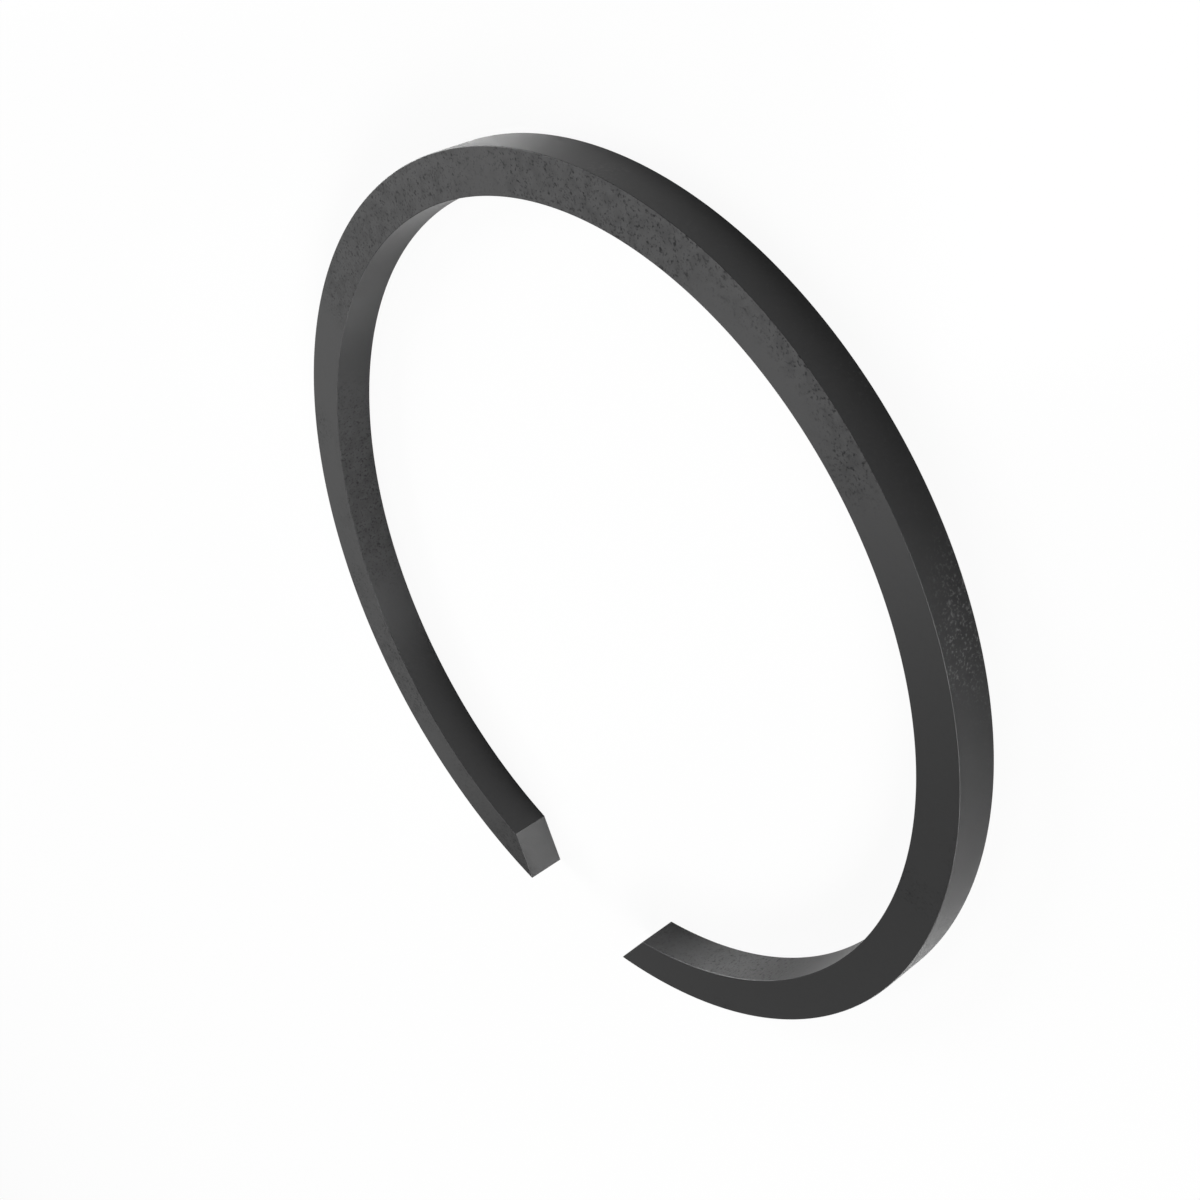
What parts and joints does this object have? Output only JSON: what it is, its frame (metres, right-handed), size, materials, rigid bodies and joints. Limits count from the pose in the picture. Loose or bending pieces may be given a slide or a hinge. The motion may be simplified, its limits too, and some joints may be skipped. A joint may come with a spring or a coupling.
{
  "type": "internal snap ring",
  "caption": "Open ring of square spring wire with bevelled ends. It springs outward into the groove of a bore and stops what is in the bore from sliding out.",
  "frame": {"origin": "on the ring's axis, level with its lower face", "axes": "+Z along the ring's axis, from the lower face to the upper face, up through the opening; the gap between the ends is centred on -Y"},
  "size_m": [0.0308, 0.0306, 0.0015],
  "materials": {
    "black_steel": "blackened spring steel, satin, with fine dark and light specks"
  },
  "bodies": {
    "root": {"snap_ring": "black_steel"}
  },
  "joints": []
}
